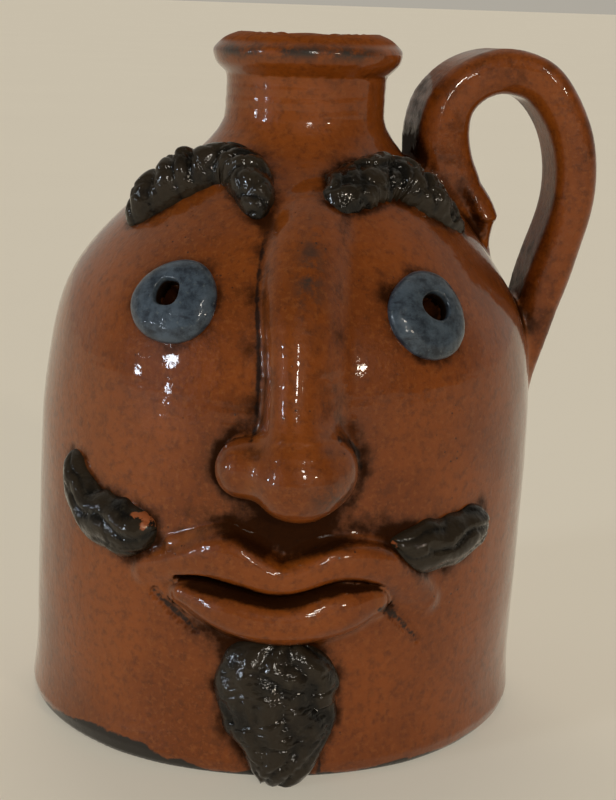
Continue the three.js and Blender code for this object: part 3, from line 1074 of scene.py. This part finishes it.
# Where the black glaze is chipped: degrees, height, size
CHIPS = {"left_moustache": (-28.0, 79.0, 4.4), "right_moustache": (22.6, 73.6, 2.2)}
applied = []
for node, (stops, relief) in HAIR.items():
    made, points = laid_roll(node + "_clay", stops, HAIR_BASE, relief)
    if node in CHIPS:
        degrees, z, size = CHIPS[node]
        away = np.linalg.norm(points - on_wall(np.radians(degrees), side_of(z), 3.0), axis=1)
        attribute(made, "chip", np.clip(1.0 - 0.5 * away / size, 0, 1))
    join_in(made, node, BLACK)
    applied.append(points)
for node, how in EYES.items():
    made, points = eye(node + "_clay", *how)
    join_in(made, node, BLUE)
    applied.append(points)

# Dark pools of glaze and painted shade, then black smudges: strength, degrees, height, breadth in
# degrees, tallness
POOL_AND_SHADE_SPOTS = [
    (0.22, -12, 134, 6, 24),
    (0.2, 20, 84, 10, 8),
    (0.2, -20, 82, 9, 8),
    (0.3, 25, 145, 3, 6),
    (0.25, 24, 78, 4, 4),
    (0.75, 2, 78, 9, 5),
    (0.35, -8, 78, 8, 5),
    (0.4, -14, 45, 7, 5),
]
SMUDGES = [(0.9, 4.5, 150, 3.4, 12), (0.8, 8.5, 92, 4.5, 5)]
NO_SEAM = 9.0


def jug_skin():
    """The jug's outside, left open inside the neck: points, outward directions and quads."""
    points, quads = skin()
    points, normals = settle(points)
    middle = points[quads].mean(axis=1)
    in_bore = np.hypot(middle[:, 0], middle[:, 1]) < MOUTH_R + 0.6
    in_bore &= (middle[:, 2] > BORE_SKIN_Z[0]) & (middle[:, 2] < BORE_SKIN_Z[1])
    quads = quads[~in_bore]
    used = np.unique(quads)
    renumber = np.full(len(points), -1)
    renumber[used] = np.arange(len(used))
    return points[used], normals[used], renumber[quads]


def lining():
    """The turned hollow from its floor up into the neck: points, inward directions and faces."""
    around = LINING_AROUND
    line = HOLLOW[1:-3]
    line = np.vstack([line[line[:, 1] < LINING_TOP_Z - 1][::3], [[MOUTH_R, LINING_TOP_Z]]])
    turn = np.linspace(0, 2 * math.pi, around, endpoint=False)
    ring = np.stack([np.cos(turn), np.sin(turn)], axis=1)
    points = np.concatenate([np.column_stack([r * ring, np.full(around, z)]) for r, z in line])
    points = np.vstack([points, [[0, 0, BASE]]])
    faces = []
    for i in range(len(line) - 1):
        for j in range(around):
            k = (j + 1) % around
            low = i * around
            high = low + around
            faces.append((low + k, low + j, high + j, high + k))
    for j in range(around):
        faces.append((len(points) - 1, j, (j + 1) % around))
    ahead = np.gradient(line, axis=0)
    ahead /= np.linalg.norm(ahead, axis=1)[:, None]
    inward = np.concatenate([np.column_stack([-d[1] * ring, np.full(around, d[0])]) for d in ahead])
    return points, np.vstack([inward, [[0, 0, 1]]]), faces


class Marks:
    """Where the glaze pools, thins, is smudged or dull over the jug's skin, and where shade is painted
    on it.
    """

    def __init__(self, points, normals, applied):
        self.points = points
        self.normals = normals
        self.degrees = np.degrees(np.arctan2(points[:, 0], -points[:, 1]))
        r = np.hypot(points[:, 0], points[:, 1])
        self.up_side = look_up(PLACE, r, points[:, 2], 0, TABLE_Z[0])
        self.across = np.radians(self.degrees) * side_at(self.up_side)[0]
        self.on_strap = (points[:, 0] > 40) & (handle(points) < 1.5)
        self.gap = self.gap_to(applied)

    def gap_to(self, applied):
        """Distance from each point of the front to the nearest applied piece."""
        sparse = np.concatenate([p[::3] for p in applied])
        tree = KDTree(len(sparse))
        for n, p in enumerate(sparse):
            tree.insert(p, n)
        tree.balance()
        gap = np.full(len(self.points), 99.0)
        front = np.flatnonzero(self.points[:, 1] < -10)
        gap[front] = [tree.find(p)[2] for p in self.points[front]]
        return gap

    def hemmed(self, reach):
        """How far clay stands in front of each point, within a reach."""
        return np.clip(1 - field(self.points + reach * self.normals) / reach, 0, 1)

    def patch(self, degrees, z, wide, tall):
        """A soft spot on the front of the jug, 1 in its middle."""
        near = (np.abs(self.degrees) < 90) & (self.points[:, 1] < 0)
        off = ((self.degrees - degrees) / wide) ** 2 + ((self.points[:, 2] - z) / tall) ** 2
        return near * np.exp(-off)

    def patches(self, spots):
        return sum(strength * self.patch(*spot) for strength, *spot in spots)

    def seam_away(self, stops):
        """Millimetres from each point of the skin to the edge of a drawn line."""
        fine = spline(stops, 40)
        line = np.stack(chart(fine[:, 0], fine[:, 1]), axis=1)
        away, place = to_line(self.across, self.up_side, line)
        half = np.interp(place, run_of(line), fine[:, 2])
        return away - half + NO_SEAM * (self.points[:, 1] > 0)

    def seam(self):
        """Millimetres to the nearest drawn line."""
        return np.minimum(np.minimum.reduce([self.seam_away(stops) for stops in SEAMS]), NO_SEAM)

    def pool(self):
        """How thick and dark the glaze has run, with painted shade in creases, under and beside the
        nose, in the pupils' pits and round the applied pieces, from 0 to 1.
        """
        # Painted shade in soft bands beside the nose
        left_of_nose = np.exp(-((self.seam_away(NOSE_SEAM) / 5) ** 2))
        right_of_nose = np.exp(-((self.seam_away(NOSE_RIGHT) / 2.6) ** 2))
        # Painted shade where clay stands close in front, and round the applied pieces
        pool = 0.8 * self.hemmed(4) + 0.6 * self.hemmed(11)
        pool *= (1 - 0.62 * left_of_nose) * (1 - 0.7 * self.on_strap)
        pool += 0.6 * np.exp(-np.maximum(self.gap - 1, 0) / 2.4) + 0.28 * self.on_strap
        pool += 0.26 * left_of_nose + 0.24 * right_of_nose + self.patches(POOL_AND_SHADE_SPOTS)
        # Painted shade in the pupils' pits
        for degrees, z, hole, *_ in EYES.values():
            pool += 2.5 * self.patch(degrees + 0.8 * hole[0], z + hole[1], 4.2, 4.6)
        return np.clip(pool, 0, 1)

    def crest(self):
        """1 on sharp ridges, where the glaze is thin."""
        return np.clip(1 + field(self.points - 3 * self.normals) / 3, 0, 1)

    def smudge(self):
        """Black smudges on the nose and along the front of the collar."""
        ridge = np.exp(-(((self.points[:, 2] - COLLAR_Z) / 2.2) ** 2))
        ridge *= smoothstep(np.abs(self.degrees + 12), 75, 40)
        return np.clip(ridge + self.patches(SMUDGES), 0, 1)

    def dull(self):
        """1 where the glaze has little shine: the rim's top and the strap's inner side."""
        rim_top = smoothstep(self.points[:, 2], 211, 213) * smoothstep(self.normals[:, 2], 0.4, 0.8)
        strap_side = 0.7 * self.on_strap * smoothstep(-self.normals[:, 0], 0.3, 0.7)
        return np.maximum(strap_side, rim_top)

    def foot(self):
        """1 in a dark grey, rough band round the foot, which reaches higher at one side."""
        reach = 1.4 + 5.6 * np.exp(-(((self.degrees + 40) / 22) ** 2))
        reach += 1.3 * noise(self.points, 14, 9)
        return np.clip(0.5 + (reach - self.points[:, 2]) / 4, 0, 1)


points, normals, quads = jug_skin()
marks = Marks(points, normals, applied)
inner, inward, inner_faces = lining()
faces = quads.tolist() + [[v + len(points) for v in f] for f in inner_faces]
jug = make_object("jug_clay", np.vstack([points, inner]), faces, np.vstack([normals, inward]))
# Each mark over the skin, and its one value all over the hollow
for name, over_skin, in_hollow in (
    # The hollow inside gets an even painted shade
    ("pool", marks.pool(), 0.4),
    ("crest", marks.crest(), 0.0),
    ("foot", marks.foot(), 0.0),
    ("smudge", marks.smudge(), 0.0),
    ("dull", marks.dull(), 0.0),
    ("seam", marks.seam(), NO_SEAM),
):
    attribute(jug, name, np.concatenate([over_skin, np.full(len(inner), in_hollow)]))
join_in(jug, "jug", RED)

# Floor, light and camera
FLOOR_HALF_M = 30.0
FLOOR_DARK = rgb(0.50, 0.455, 0.375)
FLOOR_PALE = rgb(0.53, 0.485, 0.40)
FLOOR_GLOW = rgb(1.0, 0.92, 0.76)
ROOM_LIGHT = rgb(1.0, 0.93, 0.80)
DAYLIGHT = (0.78, 0.89, 1.0)
WARM = (1.0, 0.93, 0.82)
AMBER = (1.0, 0.88, 0.70)
CAMERA_MM = (0.0, -543.6, 227.9)
PITCH, YAW, ROLL = (math.radians(v) for v in (13.51, 1.04, 1.88))
LENS_MM = 76.5
SENSOR_MM = 36.0


def make_floor():
    """A plain pale floor that glows a little, so that it stays even."""
    half = FLOOR_HALF_M
    mesh = bpy.data.meshes.new("floor")
    corners = [(-half, -half, 0), (half, -half, 0), (half, half, 0), (-half, half, 0)]
    mesh.from_pydata(corners, [], [(0, 1, 2, 3)])
    floor = bpy.data.objects.new("floor", mesh)
    bpy.context.scene.collection.objects.link(floor)
    look = Shader("floor_paper")
    look.put(look.bsdf.inputs["Base Color"], look.mix(look.noise(3, 3), FLOOR_DARK, FLOOR_PALE))
    look.bsdf.inputs["Roughness"].default_value = 0.9
    look.bsdf.inputs["Specular IOR Level"].default_value = 0.1
    look.bsdf.inputs["Emission Color"].default_value = FLOOR_GLOW
    look.bsdf.inputs["Emission Strength"].default_value = 0.27
    mesh.materials.append(look.material)
    return floor


def make_room():
    """Soft light all round, brighter behind the jug."""
    world = bpy.data.worlds.new("studio")
    world.use_nodes = True
    nodes = world.node_tree.nodes
    links = world.node_tree.links
    background = next(n for n in nodes if n.type == "BACKGROUND")
    reach = nodes.new("ShaderNodeTexCoord")
    split = nodes.new("ShaderNodeSeparateXYZ")
    fade = nodes.new("ShaderNodeMapRange")
    fade.interpolation_type = "SMOOTHSTEP"
    fade.inputs["From Min"].default_value = -0.25
    fade.inputs["From Max"].default_value = 0.45
    fade.inputs["To Min"].default_value = 0.10
    fade.inputs["To Max"].default_value = 0.42
    links.new(reach.outputs["Generated"], split.inputs["Vector"])
    links.new(split.outputs["Y"], fade.inputs["Value"])
    links.new(fade.outputs["Result"], background.inputs["Strength"])
    background.inputs["Color"].default_value = ROOM_LIGHT
    return world


def lamp(name, turn, tilt, spread, light, colour, shine=True):
    """A far lamp: degrees round from the front and up, its breadth in degrees, the light it gives."""
    turn = math.radians(turn)
    tilt = math.radians(tilt)
    flat = math.cos(tilt)
    out = np.array([math.sin(turn) * flat, -math.cos(turn) * flat, math.sin(tilt)])
    made = bpy.data.objects.new(name, bpy.data.lights.new(name, "SUN"))
    made.data.angle = math.radians(spread)
    made.data.energy = light
    made.data.color = colour
    made.visible_glossy = shine
    bpy.context.scene.collection.objects.link(made)
    right = np.cross((0, 0, 1), out)
    right /= np.linalg.norm(right)
    turned = np.stack([right, np.cross(out, right), out], axis=1)
    made.matrix_world = Matrix.Translation(out) @ Matrix(turned.tolist()).to_4x4()


def make_camera():
    """The photo's own view, from a little above and tipped a little to one side."""
    flat = math.cos(PITCH)
    ahead = np.array([math.sin(YAW) * flat, math.cos(YAW) * flat, -math.sin(PITCH)])
    level = np.array([math.cos(YAW), -math.sin(YAW), 0.0])
    above = np.cross(level, ahead)
    right = math.cos(ROLL) * level + math.sin(ROLL) * above
    up = math.cos(ROLL) * above - math.sin(ROLL) * level
    camera = bpy.data.objects.new("camera", bpy.data.cameras.new("camera"))
    camera.data.lens = LENS_MM
    camera.data.sensor_width = SENSOR_MM
    camera.data.clip_start = 0.01
    turned = Matrix(np.stack([right, up, -ahead], axis=1).tolist()).to_4x4()
    camera.matrix_world = Matrix.Translation([v / 1000 for v in CAMERA_MM]) @ turned
    bpy.context.scene.collection.objects.link(camera)
    return camera


floor = make_floor()
bpy.context.scene.world = make_room()
lamp("window", -57, 10, 4.5, 0.38, DAYLIGHT)
lamp("window_top", -61, 20, 3.2, 0.26, DAYLIGHT)
lamp("window_left", -74, 4, 2.4, 0.13, DAYLIGHT)
lamp("window_low", -57, 1, 2.2, 0.11, DAYLIGHT)
for tilt, light in ((13, 0.22), (24, 0.42), (36, 0.24)):
    lamp("front_%d" % tilt, 7, tilt, 4.6, light, WARM)
lamp("right", 33, 15, 3.6, 0.42, AMBER)
lamp("above", 180, 58, 30, 0.6, WARM, shine=False)
bpy.context.scene.camera = make_camera()
bpy.context.scene.view_settings.view_transform = "Standard"
